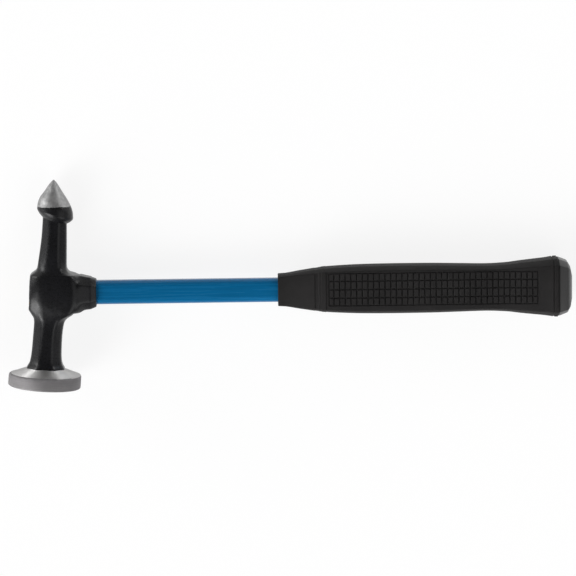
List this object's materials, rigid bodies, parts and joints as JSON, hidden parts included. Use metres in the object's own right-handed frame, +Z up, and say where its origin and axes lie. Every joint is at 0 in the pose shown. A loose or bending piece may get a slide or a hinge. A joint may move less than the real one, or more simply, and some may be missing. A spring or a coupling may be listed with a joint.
{
  "type": "auto body hammer",
  "caption": "Auto body hammer with a flat round striking face, a pointed pick, a jacketed glass fibre shaft and a flared rubber grip, lying on its side.",
  "frame": {"origin": "on the surface that the hammer lies on, under the middle of its bounding box", "axes": "+X along the handle from the head towards the butt, +Y towards the pick end of the head, +Z up off the surface; the hammer lies on the rim of the round face, the collar of the pick and a corner of the butt, so its own plane is rolled 6.2 degrees about X with the pick end low"},
  "size_m": [0.3082, 0.1156, 0.0401],
  "materials": {
    "head_steel": "forged steel, semi-gloss black paint; pick and round face ground bright",
    "eye_adhesive": "cured amber adhesive, satin",
    "seal_rubber": "matt black elastic ring",
    "glass_core": "pale glass fibre composite with lengthwise strands",
    "shaft_blue": "glossy blue jacket, faint lengthwise fibre grain",
    "grip_rubber": "matt black moulded rubber with raised square pads"
  },
  "bodies": {
    "root": {"head": "head_steel", "eye_bond": "eye_adhesive", "eye_seal": "seal_rubber", "shaft_core": "glass_core", "shaft_jacket": "shaft_blue", "grip": "grip_rubber"}
  },
  "joints": []
}
